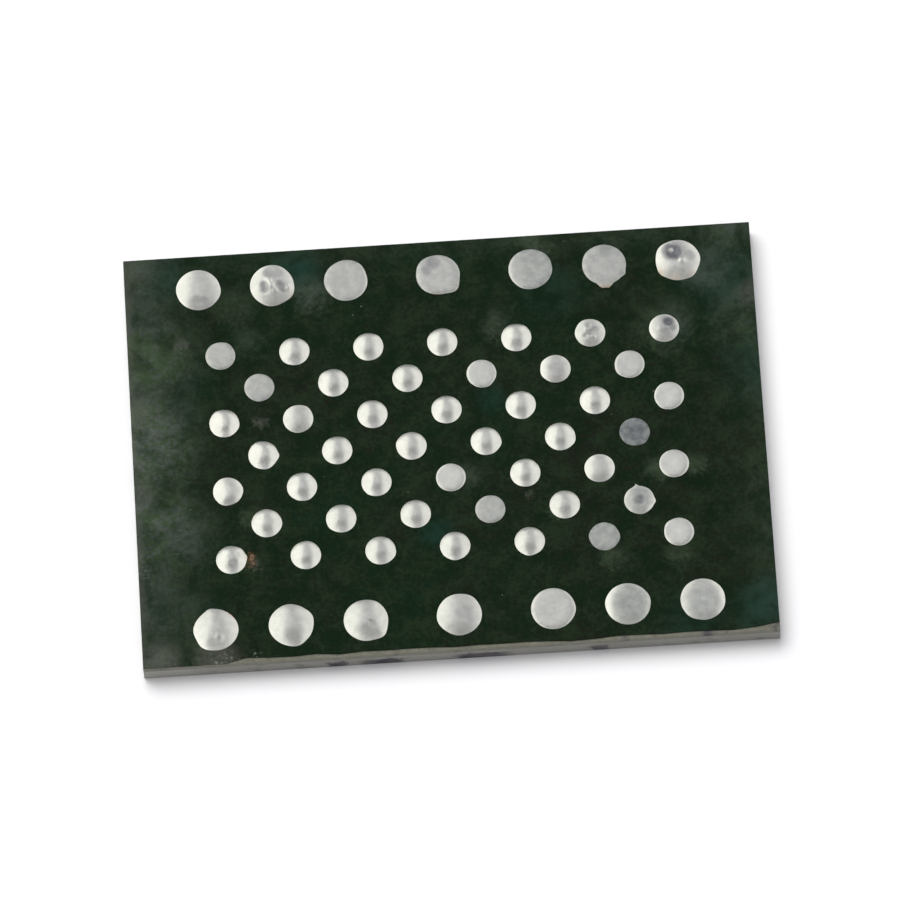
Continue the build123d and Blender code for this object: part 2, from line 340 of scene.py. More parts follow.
@dataclass(frozen=True)
class LaminateFinish(Finish):
    """Glass-fibre laminate: layered on the sawn edge, fibrous and dirty on the bare ledge."""

    name: str = "laminate_edge"
    resin: Colour = (0.140, 0.138, 0.104)
    fibre: Colour = (0.240, 0.232, 0.190)
    ledge: Colour = (0.098, 0.102, 0.076)
    violet: Colour = (0.050, 0.044, 0.060)
    ledge_level: float = 0.619

    def paint(self, desk: NodeDesk, place: Signal) -> None:
        """Paint the surface."""
        _, _, z = desk.parts(place)
        top = z.between(self.ledge_level - 0.006, self.ledge_level)
        layers = desk.noise(desk.place(stretch=(1.0, 1.0, 14.0)), 0.30, 4.0, 0.6)
        threads = desk.noise(place, 0.05, 2.0, 0.7)
        stains = desk.noise(desk.place(stretch=(1.0, 1.0, 0.4), shift=(3.0, 1.0, 0.0)), 1.0, 4.0, 0.65)
        colour = desk.mix(self.resin, self.fibre, (layers * 0.6 + threads * 0.4).between(0.36, 0.64))
        colour = desk.mix(colour, self.ledge, top * (0.75 - threads * 0.5))
        colour = desk.mix(colour, self.violet, stains.between(0.54, 0.68, 0.8))
        desk.set(
            Base_Color=colour,
            Roughness=0.62 + threads * 0.25,
            Normal=desk.bump(layers * 0.5 + threads * 0.5, 0.006),
            Specular_IOR_Level=0.3,
        )


@dataclass(frozen=True)
class MouldFinish(Finish):
    """Black filled mould compound: matt on its face, grey and scored where it was sawn."""

    name: str = "mould_compound"
    face: Colour = (0.020, 0.020, 0.022)
    sawn: Colour = (0.285, 0.281, 0.252)
    dark: Colour = (0.030, 0.028, 0.038)
    filler: Colour = (0.300, 0.300, 0.280)
    half_length: float = 8.49
    half_width: float = 5.99
    # Centre and half length of the dark patches low on the -Y side
    patches: tuple[Pair, ...] = ((-3.35, 0.30), (-2.10, 0.65), (0.55, 0.78), (3.70, 0.32))

    def paint(self, desk: NodeDesk, place: Signal) -> None:
        """Paint the surface."""
        x, y, z = desk.parts(place)
        side = x.size().between(self.half_length - 0.02, self.half_length).most(
            y.size().between(self.half_width - 0.02, self.half_width))
        grain = desk.noise(place, 0.035, 2.0, 0.6)
        clouds = desk.noise(place, 0.9, 3.0, 0.6)
        blots = desk.noise(place, 0.30, 4.0, 0.65)
        scores = desk.noise(desk.place(stretch=(9.0, 9.0, 0.6)), 0.6, 3.0, 0.65)
        grains = desk.spots(place, 0.09, 0.30)
        colour = desk.mix(self.face, self.sawn, side * (0.62 + clouds * 0.38 + x.between(-6.6, -8.2, 0.35)))
        colour = desk.mix(colour, self.filler, grains * (0.10 + side * 0.30))
        bare = clouds.between(0.56, 0.74, 0.45)
        low = (z + (blots - 0.5) * 0.45).between(0.38, 0.22) * y.between(-5.9, -5.95)
        for centre, half in self.patches:
            near = (x + (blots - 0.5) * 0.8 - centre).size().between(half * 1.15, half * 0.5)
            bare = bare.most(near * low * (0.35 + clouds))
        colour = desk.mix(colour, self.dark, side * bare)
        desk.set(
            Base_Color=colour,
            Roughness=0.58 + grain * 0.25,
            Normal=desk.bump(grain * 0.4 + side * scores * 0.6, 0.006),
            Specular_IOR_Level=0.4,
        )


@dataclass(frozen=True)
class SolderFinish(Finish):
    """Tin solder: bright and smooth on the domes, grainy and grey where it is dull."""

    name: str = "solder_tin"
    bright: Colour = (0.875, 0.875, 0.822)
    grey: Colour = (0.240, 0.268, 0.278)
    stain: Colour = (0.430, 0.300, 0.170)
    soot: Colour = (0.085, 0.088, 0.108)

    def paint(self, desk: NodeDesk, place: Signal) -> None:
        """Paint the surface."""
        # The dull attribute also carries painted light: painted highlights at the rims lower it, painted
        # shade at a flat lump's rim raises it
        dull, stained, sooty = (desk.add("ShaderNodeAttribute", {"attribute_name": name}, {}, "Fac")
                                for name in ("dull", "stain", "soot"))
        grain = desk.noise(place, 0.055, 3.0, 0.6)
        clouds = desk.noise(place, 0.16, 3.0, 0.55)
        cloudy = clouds.between(0.35, 0.70)
        colour = desk.mix(self.bright, self.grey, dull * (0.75 + cloudy * 0.25))
        colour = desk.mix(colour, self.grey, cloudy * 0.12)
        colour = desk.mix(colour, self.soot, sooty * (0.75 + grain * 0.3))
        colour = desk.mix(colour, self.stain, stained * (0.6 + grain * 0.5))
        desk.set(
            Base_Color=colour,
            Metallic=1.0 - (stained * 0.7).most(sooty * 0.4),
            Roughness=0.24 + dull * 0.36 + grain * 0.10,
            Normal=desk.bump(grain * 0.35 + clouds * 0.65, 0.005),
        )


@dataclass(frozen=True)
class MetalFinish(Finish):
    """Worked metal or silicon with a fine grain and slight tarnish."""

    clean: Colour
    tarnished: Colour
    roughness: float
    grain_mm: float = 0.05

    def paint(self, desk: NodeDesk, place: Signal) -> None:
        """Paint the surface."""
        grain = desk.noise(place, self.grain_mm, 3.0, 0.6)
        clouds = desk.noise(place, 0.8, 3.0, 0.6)
        desk.set(
            Base_Color=desk.mix(self.clean, self.tarnished, clouds.between(0.40, 0.75) * 0.8),
            Metallic=1.0,
            Roughness=self.roughness + grain * 0.12,
            Normal=desk.bump(grain, 0.001),
        )


@dataclass(frozen=True)
class FilmFinish(Finish):
    """Cured film, slightly cloudy: amber adhesive, or the green mask that is sealed in the mould."""

    name: str = "adhesive_film"
    clear: Colour = (0.42, 0.33, 0.16)
    cloudy: Colour = (0.60, 0.52, 0.34)

    def paint(self, desk: NodeDesk, place: Signal) -> None:
        """Paint the surface."""
        clouds = desk.noise(place, 0.6, 3.0, 0.6)
        desk.set(
            Base_Color=desk.mix(self.clear, self.cloudy, clouds.between(0.35, 0.70)),
            Roughness=0.35 + clouds * 0.2,
            Normal=desk.bump(clouds, 0.001),
        )


@dataclass(frozen=True)
class ResidueFinish(Finish):
    """Burnt flux: brown and glossy."""

    name: str = "flux_residue"
    thin: Colour = (0.130, 0.068, 0.030)
    thick: Colour = (0.080, 0.048, 0.024)

    def paint(self, desk: NodeDesk, place: Signal) -> None:
        """Paint the surface."""
        clouds = desk.noise(place, 0.12, 3.0, 0.6)
        desk.set(
            Base_Color=desk.mix(self.thin, self.thick, clouds.between(0.35, 0.65)),
            Roughness=0.28 + clouds * 0.3,
            Normal=desk.bump(clouds, 0.004),
        )


@dataclass(frozen=True)
class PaperFinish(Finish):
    """The plain white sheet that the chip lies on."""

    name: str = "white_sheet"
    white: Colour = (0.90, 0.90, 0.90)
    shade: Colour = (0.88, 0.88, 0.885)

    def paint(self, desk: NodeDesk, place: Signal) -> None:
        """Paint the surface."""
        clouds = desk.noise(place, 9.0, 2.0, 0.5)
        desk.set(Base_Color=desk.mix(self.white, self.shade, clouds), Roughness=0.85, Specular_IOR_Level=0.1)


class Form(Enum):
    """How a lump of solder has set: its height key and how its side rises."""

    DOME = "dome"
    SATIN = "low"
    FLAT = "flat"

    def lift(self, share: float) -> float:
        """Height at a distance from the centre.

        Args:
            share: the distance as a share of the rim's radius.

        Returns:
            The height as a share of the lump's rise.
        """
        if self is Form.FLAT:
            return (1.0 - share ** 7) ** 0.6
        return 1.0 - share * share


@dataclass(frozen=True)
class Dent:
    """A push into a lump, or out of it: place and size as shares of its radius, depth in millimetres."""

    x: float
    y: float
    size: float
    depth: float
    soot: float = 0.0


@dataclass(frozen=True)
class Nib:
    """A tongue of solder at the rim: its angle, how far it runs out and how brown it is."""

    degrees: float
    reach: float
    width: float = 0.22
    stain: float = 0.0


@dataclass(frozen=True)
class Lump:
    """What the solder on one land is like."""

    form: Form
    dull: float = 0.0
    dents: tuple[Dent, ...] = ()
    nibs: tuple[Nib, ...] = ()
    # Where a painted highlight makes the rim brightest, in degrees from +X
    highlight_side: float | None = None


DOME = Lump(Form.DOME, dull=0.04)
DIM = Lump(Form.DOME, dull=0.11)
# Where the top leans a little towards the left
LEAN = (Dent(-0.65, 0.0, 1.0, -0.020), Dent(0.65, 0.0, 1.0, 0.015))
PALE = Lump(Form.FLAT, dents=LEAN)
CLEAN = Lump(Form.DOME, dents=(*LEAN, Dent(0.0, -0.60, 0.9, 0.018)))
RINGED = (
    Dent(0.08, -0.04, 0.46, -0.07, 0.7), Dent(-0.12, -0.16, 0.26, -0.02, 0.55),
)

PITS = (
    Dent(-0.36, 0.0, 0.26, -0.045, 0.62), Dent(-0.3, -0.22, 0.26, -0.045, 0.7),
    Dent(0.34, -0.04, 0.28, -0.05, 0.62), Dent(0.48, -0.22, 0.28, -0.045, 0.74),
    Dent(-0.12, 0.62, 0.34, -0.03, 0.42), Dent(0.22, 0.56, 0.32, -0.025, 0.34),
    Dent(-0.12, 0.16, 0.22, 0.05), Dent(-0.04, -0.08, 0.2, 0.045), Dent(0.1, -0.26, 0.2, 0.03),
    Dent(0.74, -0.15, 0.16, 0.04),
)
FINE_PITS = (
    Dent(0.0, -0.05, 0.3, -0.035, 0.6), Dent(0.3, 0.2, 0.28, -0.03, 0.5), Dent(-0.25, 0.25, 0.22, 0.022),
    Dent(-0.3, -0.25, 0.24, -0.022, 0.4), Dent(0.2, -0.4, 0.22, 0.022), Dent(-0.05, 0.55, 0.3, -0.02, 0.3),
)

# Lumps of each row from -X to +X, rows from +Y to -Y
ROWS: tuple[tuple[Lump, ...], ...] = (
    (
        Lump(Form.SATIN, dull=0.1, dents=(
            Dent(-0.1, -0.55, 0.3, -0.015, 0.3), Dent(0.25, -0.6, 0.25, -0.012, 0.28),
        ), nibs=(Nib(38.0, -0.012, 0.45),), highlight_side=180.0),
        Lump(Form.SATIN, dull=0.12, dents=PITS, nibs=(
            Nib(32.0, -0.013, 0.4), Nib(-30.0, 0.035, 0.3, 0.4), Nib(-100.0, 0.02, 0.3),
        )),
        Lump(Form.FLAT, dull=0.28, nibs=(
            Nib(12.0, -0.013, 0.35), Nib(-145.0, -0.014, 0.4), Nib(80.0, 0.03, 0.45),
            Nib(50.0, 0.025, 0.3),
        ), highlight_side=-20.0),
        Lump(Form.FLAT, dull=0.24, dents=(
            Dent(-0.2, 0.58, 0.46, -0.02, 0.62), Dent(-0.48, 0.25, 0.34, -0.012, 0.5),
        ), nibs=(
            Nib(-42.0, 0.085, 0.3, 0.25), Nib(-95.0, -0.02, 0.4), Nib(140.0, 0.03, 0.35),
        )),
        Lump(Form.FLAT, dull=0.5, nibs=(Nib(-50.0, -0.02, 0.4),), highlight_side=200.0),
        Lump(Form.FLAT, dull=0.34, dents=(
            Dent(0.15, 0.62, 0.45, -0.012, 0.42), Dent(-0.35, 0.3, 0.25, -0.008, 0.2),
        ), nibs=(
            Nib(-100.0, 0.11, 0.15, 1.0), Nib(-82.0, 0.11, 0.15, 1.0), Nib(-28.0, 0.05, 0.12),
        )),
        Lump(Form.SATIN, dull=0.06, dents=(
            Dent(-0.15, 0.4, 0.6, -0.085, 1.0), Dent(-0.36, 0.66, 0.26, -0.015, 0.9),
            Dent(0.06, 0.1, 0.24, -0.015, 0.8), Dent(-0.27, 0.5, 0.17, 0.06),
            Dent(0.15, -0.08, 0.22, 0.03), Dent(0.52, 0.15, 0.34, -0.02, 0.4),
        ), nibs=(
            Nib(-145.0, 0.04, 0.26, 0.8), Nib(-55.0, 0.03, 0.26, 0.5), Nib(-100.0, 0.01, 0.26, 0.7),
            Nib(140.0, 0.03, 0.3),
        )),
    ),
    (
        Lump(Form.FLAT, dull=0.3), DOME, DOME, DOME, DOME, Lump(Form.SATIN, dull=0.22, dents=FINE_PITS),
        Lump(Form.SATIN, dull=0.42, dents=(
            Dent(0.3, 0.42, 0.5, -0.05, 1.0), Dent(-0.3, -0.1, 0.3, 0.02, 0.2),
            Dent(0.55, 0.0, 0.35, -0.02, 0.6), Dent(0.1, -0.3, 0.35, -0.02, 0.4),
        ), highlight_side=-150.0),
    ),
    (
        Lump(Form.FLAT, dull=0.34), DOME, DOME, Lump(Form.FLAT, dull=0.02, nibs=(Nib(-70.0, 0.02, 0.25),)),
        Lump(Form.SATIN, dull=0.25, dents=(Dent(0.05, 0.0, 0.6, -0.02, 0.25),), highlight_side=180.0),
        Lump(Form.FLAT, dull=0.05, dents=(Dent(0.65, 0.0, 1.0, 0.01),)),
    ),
    (CLEAN, Lump(Form.SATIN, dull=0.12), DOME, DOME, DOME, DOME, PALE),
    (
        Lump(Form.DOME, dents=LEAN, nibs=(Nib(-5.0, 0.035, 0.22),)), DOME, DOME, DOME, DOME,
        Lump(Form.FLAT, dull=1.0, dents=(Dent(0.08, -0.05, 0.8, -0.015, 0.6),)),
    ),
    (Lump(Form.SATIN, dents=CLEAN.dents), DOME, DOME, PALE, DOME, Lump(Form.SATIN, dull=0.1), PALE),
    (
        DOME, DIM, DIM, Lump(Form.FLAT, dull=0.36), DIM,
        Lump(Form.SATIN, dull=0.58, dents=RINGED, nibs=(
            Nib(100.0, 0.075, 0.09, 0.4), Nib(-8.0, 0.035, 0.16),
        ), highlight_side=-60.0),
    ),
    (
        Lump(Form.DOME, dents=(
            Dent(0.12, -0.24, 0.34, -0.012, 0.34), Dent(0.42, 0.22, 0.26, -0.01, 0.2),
        ), nibs=(Nib(5.0, 0.03, 0.16, 0.6),)),
        DOME, DIM, DIM, DIM, Lump(Form.FLAT, dull=0.56), PALE,
    ),
    (
        Lump(Form.DOME, dull=0.18, dents=(Dent(0.15, -0.45, 0.3, 0.025),), nibs=(
            Nib(135.0, -0.012, 0.4), Nib(-125.0, 0.04, 0.3), Nib(-48.0, -0.012, 0.45),
            Nib(105.0, 0.035, 0.2), Nib(48.0, -0.022, 0.35),
        ), highlight_side=-150.0),
        Lump(Form.DOME, dull=0.14, nibs=(
            Nib(-140.0, -0.014, 0.45), Nib(-75.0, 0.03, 0.3), Nib(20.0, 0.035, 0.3),
        )),
        Lump(Form.DOME, dull=0.16, dents=(Dent(0.22, -0.2, 0.18, -0.03, 0.35),), nibs=(
            Nib(-130.0, -0.013, 0.45), Nib(-48.0, 0.06, 0.3),
        )),
        Lump(Form.SATIN, dull=0.17, dents=(Dent(0.2, 0.05, 0.5, -0.014, 0.25),), nibs=(
            Nib(-165.0, 0.02, 0.3),
        )),
        Lump(Form.FLAT, dull=0.04, dents=(
            Dent(-0.05, -0.1, 0.55, -0.014, 0.06), Dent(-0.05, -0.1, 0.25, 0.012),
        ), highlight_side=90.0),
        Lump(Form.SATIN, dull=0.58, dents=(
            Dent(0.05, 0.0, 0.85, -0.055, 0.1), Dent(0.2, -0.15, 0.3, -0.008, 0.24),
        ), highlight_side=180.0),
        Lump(Form.SATIN, dull=0.42, dents=(
            Dent(-0.05, 0.0, 0.85, -0.055, 0.06), Dent(0.15, 0.05, 0.2, 0.012),
        ), highlight_side=10.0),
    ),
)


def deselect_all() -> None:
    """Leave edit mode and select nothing."""
    if bpy.context.object and bpy.context.object.mode != "OBJECT":
        bpy.ops.object.mode_set(mode="OBJECT")
    bpy.ops.object.select_all(action="DESELECT")


def make_active(piece: bpy.types.Object) -> None:
    """Select one object alone and make it the active one."""
    deselect_all()
    piece.select_set(True)
    bpy.context.view_layer.objects.active = piece


def join(pieces: list[bpy.types.Object], name: str) -> bpy.types.Object:
    """Join pieces into one and name it.

    Args:
        pieces: the pieces; the first takes in the others.
        name: the name of the whole.

    Returns:
        The joined piece.
    """
    deselect_all()
    for piece in pieces:
        piece.select_set(True)
    bpy.context.view_layer.objects.active = pieces[0]
    bpy.ops.object.join()
    pieces[0].name = name
    return pieces[0]


def grow_ring(climb: float, scale: float, centre: Triple = (0.0, 0.0, 0.0)) -> None:
    """Extrude the selected face upwards and scale it about the Z axis through the centre."""
    bpy.ops.mesh.extrude_region_move(TRANSFORM_OT_translate={"value": (0.0, 0.0, climb)})
    bpy.ops.transform.resize(value=(scale, scale, 1.0), center_override=centre)


def close_top() -> None:
    """Turn the last ring into a fan and all faces outwards, and leave edit mode."""
    bpy.ops.mesh.poke()
    bpy.ops.mesh.select_all(action="SELECT")
    bpy.ops.mesh.normals_make_consistent(inside=False)
    bpy.ops.object.mode_set(mode="OBJECT")


def dress(name: str, material: bpy.types.Material) -> None:
    """Give a CAD node one finish."""
    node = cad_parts[name]
    node.data.materials.clear()
    node.data.materials.append(material)
    LOG.info("%s wears %s", name, material.name)


@dataclass
class SolderLump:
    """One lump of solder, modelled ring by ring and then pushed into its own shape."""

    sides: int = 48
    rings: int = 14
    overhang: float = 0.008
    neck_gap: float = 0.004

    def model(self, form: Form, radius: float, rise: float, base: float, top: float) -> bpy.types.Object:
        """Model a form at the origin.

        Args:
            form: how it has set.
            radius: the radius of the mask opening in millimetres.
            rise: how far it stands above the mask.
            base: the level of the copper under it.
            top: the level of the mask's face.

        Returns:
            The closed lump.
        """
        deselect_all()
        neck = radius - self.neck_gap
        bpy.ops.mesh.primitive_circle_add(vertices=self.sides, radius=neck, fill_type="NGON",
                                          location=(0.0, 0.0, 0.0))
        piece = bpy.context.object
        bpy.ops.object.mode_set(mode="EDIT")
        bpy.ops.mesh.select_all(action="SELECT")
        bpy.ops.transform.translate(value=(0.0, 0.0, base))
        bpy.ops.mesh.extrude_region_move(TRANSFORM_OT_translate={"value": (0.0, 0.0, top - base)})
        rim = radius + self.overhang
        grow_ring(0.0, rim / neck)
        height, share = 0.0, 1.0
        for ring in range(1, self.rings + 1):
            new_share = math.cos(math.pi / 2 * ring / (self.rings + 1))
            new_height = rise * form.lift(new_share)
            grow_ring(new_height - height, new_share / share)
            height, share = new_height, new_share
        close_top()
        return piece


@dataclass
class SolderRow:
    """All the solder of one row, as one piece that stands for its CAD node."""

    number: int
    lumps: tuple[Lump, ...]
    forms: dict[tuple[Form, float], bpy.types.Object]
    large_pitch: float = 2.0
    copper: float = 0.018
    unevenness: float = 0.006
    unevenness_grain: float = 0.30
    rim_pushes: int = 3
    rim_swing: Pair = (-0.4, 1.0)
    rim_wander: float = 0.018
    rim_push_size: float = 0.55
    stain_reach: float = 1.6
    soot_fade: float = 2.2
    small_rises: Triple = (0.155, 0.095, 0.038)
    large_rises: Triple = (0.192, 0.125, 0.048)
    large_from: float = 0.5
    # Painted light in the dullness: duller, as painted shade, at a flat lump's rim; less dull, as painted
    # highlights, at a dome's rim and on a lump's highlight side
    flat_rim_shade: float = 0.24
    rim_highlight: float = 0.45
    highlight_side_strength: float = 0.9

    def __post_init__(self) -> None:
        """Read the row's place and size from its CAD node."""
        low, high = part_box(f"solder_row_{self.number}")
        self.low, self.high = low / MM, high / MM
        self.radius = (self.high.y - self.low.y) / 2
        self.y = (self.high.y + self.low.y) / 2
        self.is_large = self.radius > self.large_from
        self.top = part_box("land_side_solder_mask")[1].z / MM
        self.base = self.low.z

    def places(self) -> list[float]:
        """Where the lumps lie along X."""
        end = self.high.x - self.radius
        if self.is_large:
            right = [end - self.large_pitch * i for i in range(3)]
            return sorted([-x for x in right] + [0.0] + right)
        count = len(self.lumps)
        return [-end + 2 * end * i / (count - 1) for i in range(count)]

    def rise(self, form: Form) -> float:
        """How far a form stands above the mask in this row."""
        rises = self.large_rises if self.is_large else self.small_rises
        return rises[list(Form).index(form)]

    def copy_form(self, form: Form, x: float) -> bpy.types.Object:
        """Take a copy of a form, with a mesh of its own, to its place.

        Args:
            form: the form to copy; it is modelled when it is first needed.
            x: the place along the row.

        Returns:
            The copy.
        """
        key = (form, round(self.radius, 3))
        if key not in self.forms:
            self.forms[key] = SolderLump().model(form, self.radius, self.rise(form), self.base, self.top)
        piece = self.forms[key].copy()
        piece.data = piece.data.copy()
        bpy.context.scene.collection.objects.link(piece)
        make_active(piece)
        bpy.ops.transform.translate(value=(x, self.y, 0.0))
        bpy.ops.object.transform_apply(location=True, rotation=False, scale=False)
        return piece

    def push(self, piece: bpy.types.Object, at: Pair, move: Triple, size: float) -> None:
        """Push the nearest point of a lump, and its neighbours less.

        Args:
            piece: the lump.
            at: the place in millimetres.
            move: how far the point goes.
            size: how far the push reaches.
        """
        co = self._points(piece)
        # Points that the mask hides are out of reach
        hidden = np.where(co[:, 2] > self.top + 1e-4, 0.0, 1e3)
        near = int(np.argmin((co[:, 0] - at[0]) ** 2 + (co[:, 1] - at[1]) ** 2 + hidden))
        for part in (piece.data.vertices, piece.data.edges, piece.data.polygons):
            part.foreach_set("select", [False] * len(part))
        piece.data.vertices[near].select = True
        make_active(piece)
        bpy.ops.object.mode_set(mode="EDIT")
        bpy.ops.mesh.select_mode(type="VERT")
        bpy.ops.transform.translate(value=move, use_proportional_edit=True,
                                    proportional_edit_falloff="SMOOTH", proportional_size=size)
        bpy.ops.object.mode_set(mode="OBJECT")

    @staticmethod
    def _points(piece: bpy.types.Object) -> np.ndarray:
        """The vertices of a piece as an array."""
        co = np.zeros(len(piece.data.vertices) * 3)
        piece.data.vertices.foreach_get("co", co)
        return co.reshape(-1, 3)

    def shape(self, piece: bpy.types.Object, lump: Lump, x: float, dice: random.Random) -> None:
        """Give a copied form the dents, nibs and unevenness of its own land.

        Args:
            piece: the copied form.
            lump: what it is like.
            x: its place along the row.
            dice: the row's random numbers.
        """
        for dent in lump.dents:
            at = (x + dent.x * self.radius, self.y + dent.y * self.radius)
            self.push(piece, at, (0.0, 0.0, dent.depth), dent.size * self.radius)
        for _ in range(self.rim_pushes):
            angle = dice.uniform(0.0, 2 * math.pi)
            out = dice.uniform(*self.rim_swing) * self.rim_wander
            self._push_rim(piece, x, angle, out, self.rim_push_size * self.radius)
        for nib in lump.nibs:
            self._push_rim(piece, x, math.radians(nib.degrees), nib.reach, nib.width * self.radius * 2)

    def _push_rim(self, piece: bpy.types.Object, x: float, angle: float, out: float, size: float) -> None:
        """Push the rim of a lump outwards or inwards.

        Args:
            piece: the lump.
            x: its place along the row.
            angle: where on the rim, in radians from +X.
            out: how far, in millimetres.
            size: how far the push reaches.
        """
        along = (math.cos(angle), math.sin(angle))
        at = (x + along[0] * self.radius, self.y + along[1] * self.radius)
        self.push(piece, at, (along[0] * out, along[1] * out, 0.0), size)

    def mark(self, piece: bpy.types.Object, lump: Lump, x: float) -> None:
        """Store where a lump is dull, stained and sooty; the dullness also holds painted highlights and
        painted shade at the rims; what stands out of a hollow is clean.

        Args:
            piece: the lump.
            lump: what it is like.
            x: its place along the row.
        """
        co = self._points(piece)
        stain = np.zeros(len(co))
        soot = np.zeros(len(co))
        for nib in lump.nibs:
            reach = self.radius + nib.reach
            tip = (x + math.cos(math.radians(nib.degrees)) * reach,
                   self.y + math.sin(math.radians(nib.degrees)) * reach)
            away = np.hypot(co[:, 0] - tip[0], co[:, 1] - tip[1])
            fade = nib.width * self.radius * self.stain_reach
            stain = np.maximum(stain, nib.stain * np.clip(1.0 - away / fade, 0, 1))
        for dent in lump.dents:
            at = (x + dent.x * self.radius, self.y + dent.y * self.radius)
            away = np.hypot(co[:, 0] - at[0], co[:, 1] - at[1]) / (dent.size * self.radius)
            if dent.depth > 0:
                soot = soot * np.clip(2.0 * away - 0.6, dent.soot, 1)
            else:
                soot = np.maximum(soot, dent.soot * np.clip(self.soot_fade - self.soot_fade * away, 0, 1))
        dull = self._dullness_and_painted_light(lump, co[:, 0] - x, co[:, 1] - self.y)
        for name, values in (("dull", dull), ("stain", stain), ("soot", soot)):
            layer = piece.data.attributes.new(name, "FLOAT", "POINT")
            layer.data.foreach_set("value", values.astype(np.float32))

    def _dullness_and_painted_light(self, lump: Lump, across: np.ndarray, along: np.ndarray) -> np.ndarray:
        """How dull each point of a lump is, with painted light in it: less dull, as a painted highlight, on
        its highlight side and near a dome's rim, and duller, as painted shade, at a flat lump's rim.

        Args:
            lump: what it is like.
            across: the points' X from the centre of the land.
            along: their Y from it.

        Returns:
            The dullness, with the painted highlight and shade in it.
        """
        share = np.clip(np.hypot(across, along) / self.radius, 0.0, 1.0)
        is_flat = lump.form is Form.FLAT
        # Painted highlight: a dome's rim is made less dull, so it shows brighter and glossier
        painted_highlight = 0.0 if is_flat else self.rim_highlight * share ** 5
        # Painted highlight on one side of the rim
        if lump.highlight_side is not None:
            turn = np.arctan2(along, across) - math.radians(lump.highlight_side)
            facing = np.clip(np.cos(turn), 0.0, 1.0)
            painted_highlight = painted_highlight + self.highlight_side_strength * facing * share ** 2.5
        dull = lump.dull * np.clip(1.0 - painted_highlight, 0.0, 1.0)
        # Painted shade: a flat lump's rim is made duller, so darker
        return np.clip(dull + self.flat_rim_shade * share ** 6, 0.0, 1.0) if is_flat else dull

    def build(self, material: bpy.types.Material) -> None:
        """Build the whole row.

        Args:
            material: the solder's finish.
        """
        dice = random.Random(100 + self.number)
        pieces = []
        for lump, x in zip(self.lumps, self.places()):
            piece = self.copy_form(lump.form, x)
            self.shape(piece, lump, x, dice)
            self.mark(piece, lump, x)
            pieces.append(piece)
        row = join(pieces, f"solder_{self.number}")
        self._roughen(row)
        row.data.materials.clear()
        row.data.materials.append(material)
        to_metres(row)
        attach(row, BODY)
        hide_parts(f"solder_row_{self.number}")
        LOG.info("%s stands for solder_row_%d, %d faces", row.name, self.number, len(row.data.polygons))

    def _roughen(self, row: bpy.types.Object) -> None:
        """Make the set surface slightly uneven, and shade it smoothly."""
        clouds = bpy.data.textures.new(f"{row.name}_clouds", "CLOUDS")
        clouds.noise_scale = self.unevenness_grain
        clouds.noise_depth = 2
        make_active(row)
        wave = row.modifiers.new("unevenness", "DISPLACE")
        wave.texture = clouds
        wave.texture_coords = "LOCAL"
        wave.strength = self.unevenness
        wave.mid_level = 0.5
        bpy.ops.object.modifier_apply(modifier=wave.name)
        bpy.ops.object.shade_smooth_by_angle(angle=math.radians(50.0))


@dataclass(frozen=True)
class Drop:
    """One flat drop of residue: centre, half length, half width, turn in degrees and height."""

    centre: Pair
    length: float
    width: float
    turn: float
    height: float


@dataclass
class FluxResidue:
    """Amber drops of burnt flux beside one lump, all one piece."""

    finish: ResidueFinish = ResidueFinish()
    drops: tuple[Drop, ...] = (
        Drop((-5.44, -2.98), 0.11, 0.065, 80.0, 0.010),
        Drop((-5.42, -3.14), 0.06, 0.035, -50.0, 0.006),
    )
    sides: int = 20
    raggedness: float = 0.14
    # Climb of each step as a share of the height, and how far the drop narrows there
    steps: tuple[Pair, ...] = ((0.55, 0.93), (0.30, 0.75), (0.15, 0.5))

    def build(self) -> None:
        """Model the drops on the mask's face."""
        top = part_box("land_side_solder_mask")[1].z / MM
        dice = random.Random(7)
        residue = join([self._drop(drop, top, dice) for drop in self.drops], "flux_residue")
        bpy.ops.object.shade_smooth_by_angle(angle=math.radians(60.0))
        residue.data.materials.append(self.finish.make())
        to_metres(residue)
        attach(residue, BODY)
        LOG.info("%s, %d faces", residue.name, len(residue.data.polygons))

    def _drop(self, drop: Drop, top: float, dice: random.Random) -> bpy.types.Object:
        """Model one drop.

        Args:
            drop: its place and size.
            top: the level of the mask's face.
            dice: random numbers for its outline.

        Returns:
            The closed drop.
        """
        deselect_all()
        bpy.ops.mesh.primitive_circle_add(vertices=self.sides, radius=1.0, fill_type="NGON",
                                          location=(0.0, 0.0, 0.0))
        piece = bpy.context.object
        piece.scale = (drop.length, drop.width, 1.0)
        piece.rotation_euler = (0.0, 0.0, math.radians(drop.turn))
        piece.location = (*drop.centre, top)
        bpy.ops.object.transform_apply(location=True, rotation=True, scale=True)
        for vertex in piece.data.vertices:
            spread = 1.0 + dice.uniform(-self.raggedness, self.raggedness)
            vertex.co.x = drop.centre[0] + (vertex.co.x - drop.centre[0]) * spread
            vertex.co.y = drop.centre[1] + (vertex.co.y - drop.centre[1]) * spread
        bpy.ops.object.mode_set(mode="EDIT")
        bpy.ops.mesh.select_all(action="SELECT")
        for climb, scale in self.steps:
            grow_ring(drop.height * climb, scale, (*drop.centre, top))
        close_top()
        return piece


def to_metres(piece: bpy.types.Object) -> None:
    """Bring a piece that was modelled in millimetres to its real size, at the origin."""
    make_active(piece)
    piece.scale = (MM, MM, MM)
    bpy.ops.object.transform_apply(location=True, rotation=True, scale=True)
    piece.select_set(False)


@dataclass
class Solder:
    """The solder on all the lands."""

    finish: SolderFinish = SolderFinish()

    def build(self) -> None:
        """Build the rows, and remove the forms that they were copied from."""
        material = self.finish.make()
        forms: dict[tuple[Form, float], bpy.types.Object] = {}
        for number, lumps in enumerate(ROWS, start=1):
            SolderRow(number, lumps, forms).build(material)
        for form in forms.values():
            bpy.data.objects.remove(form)


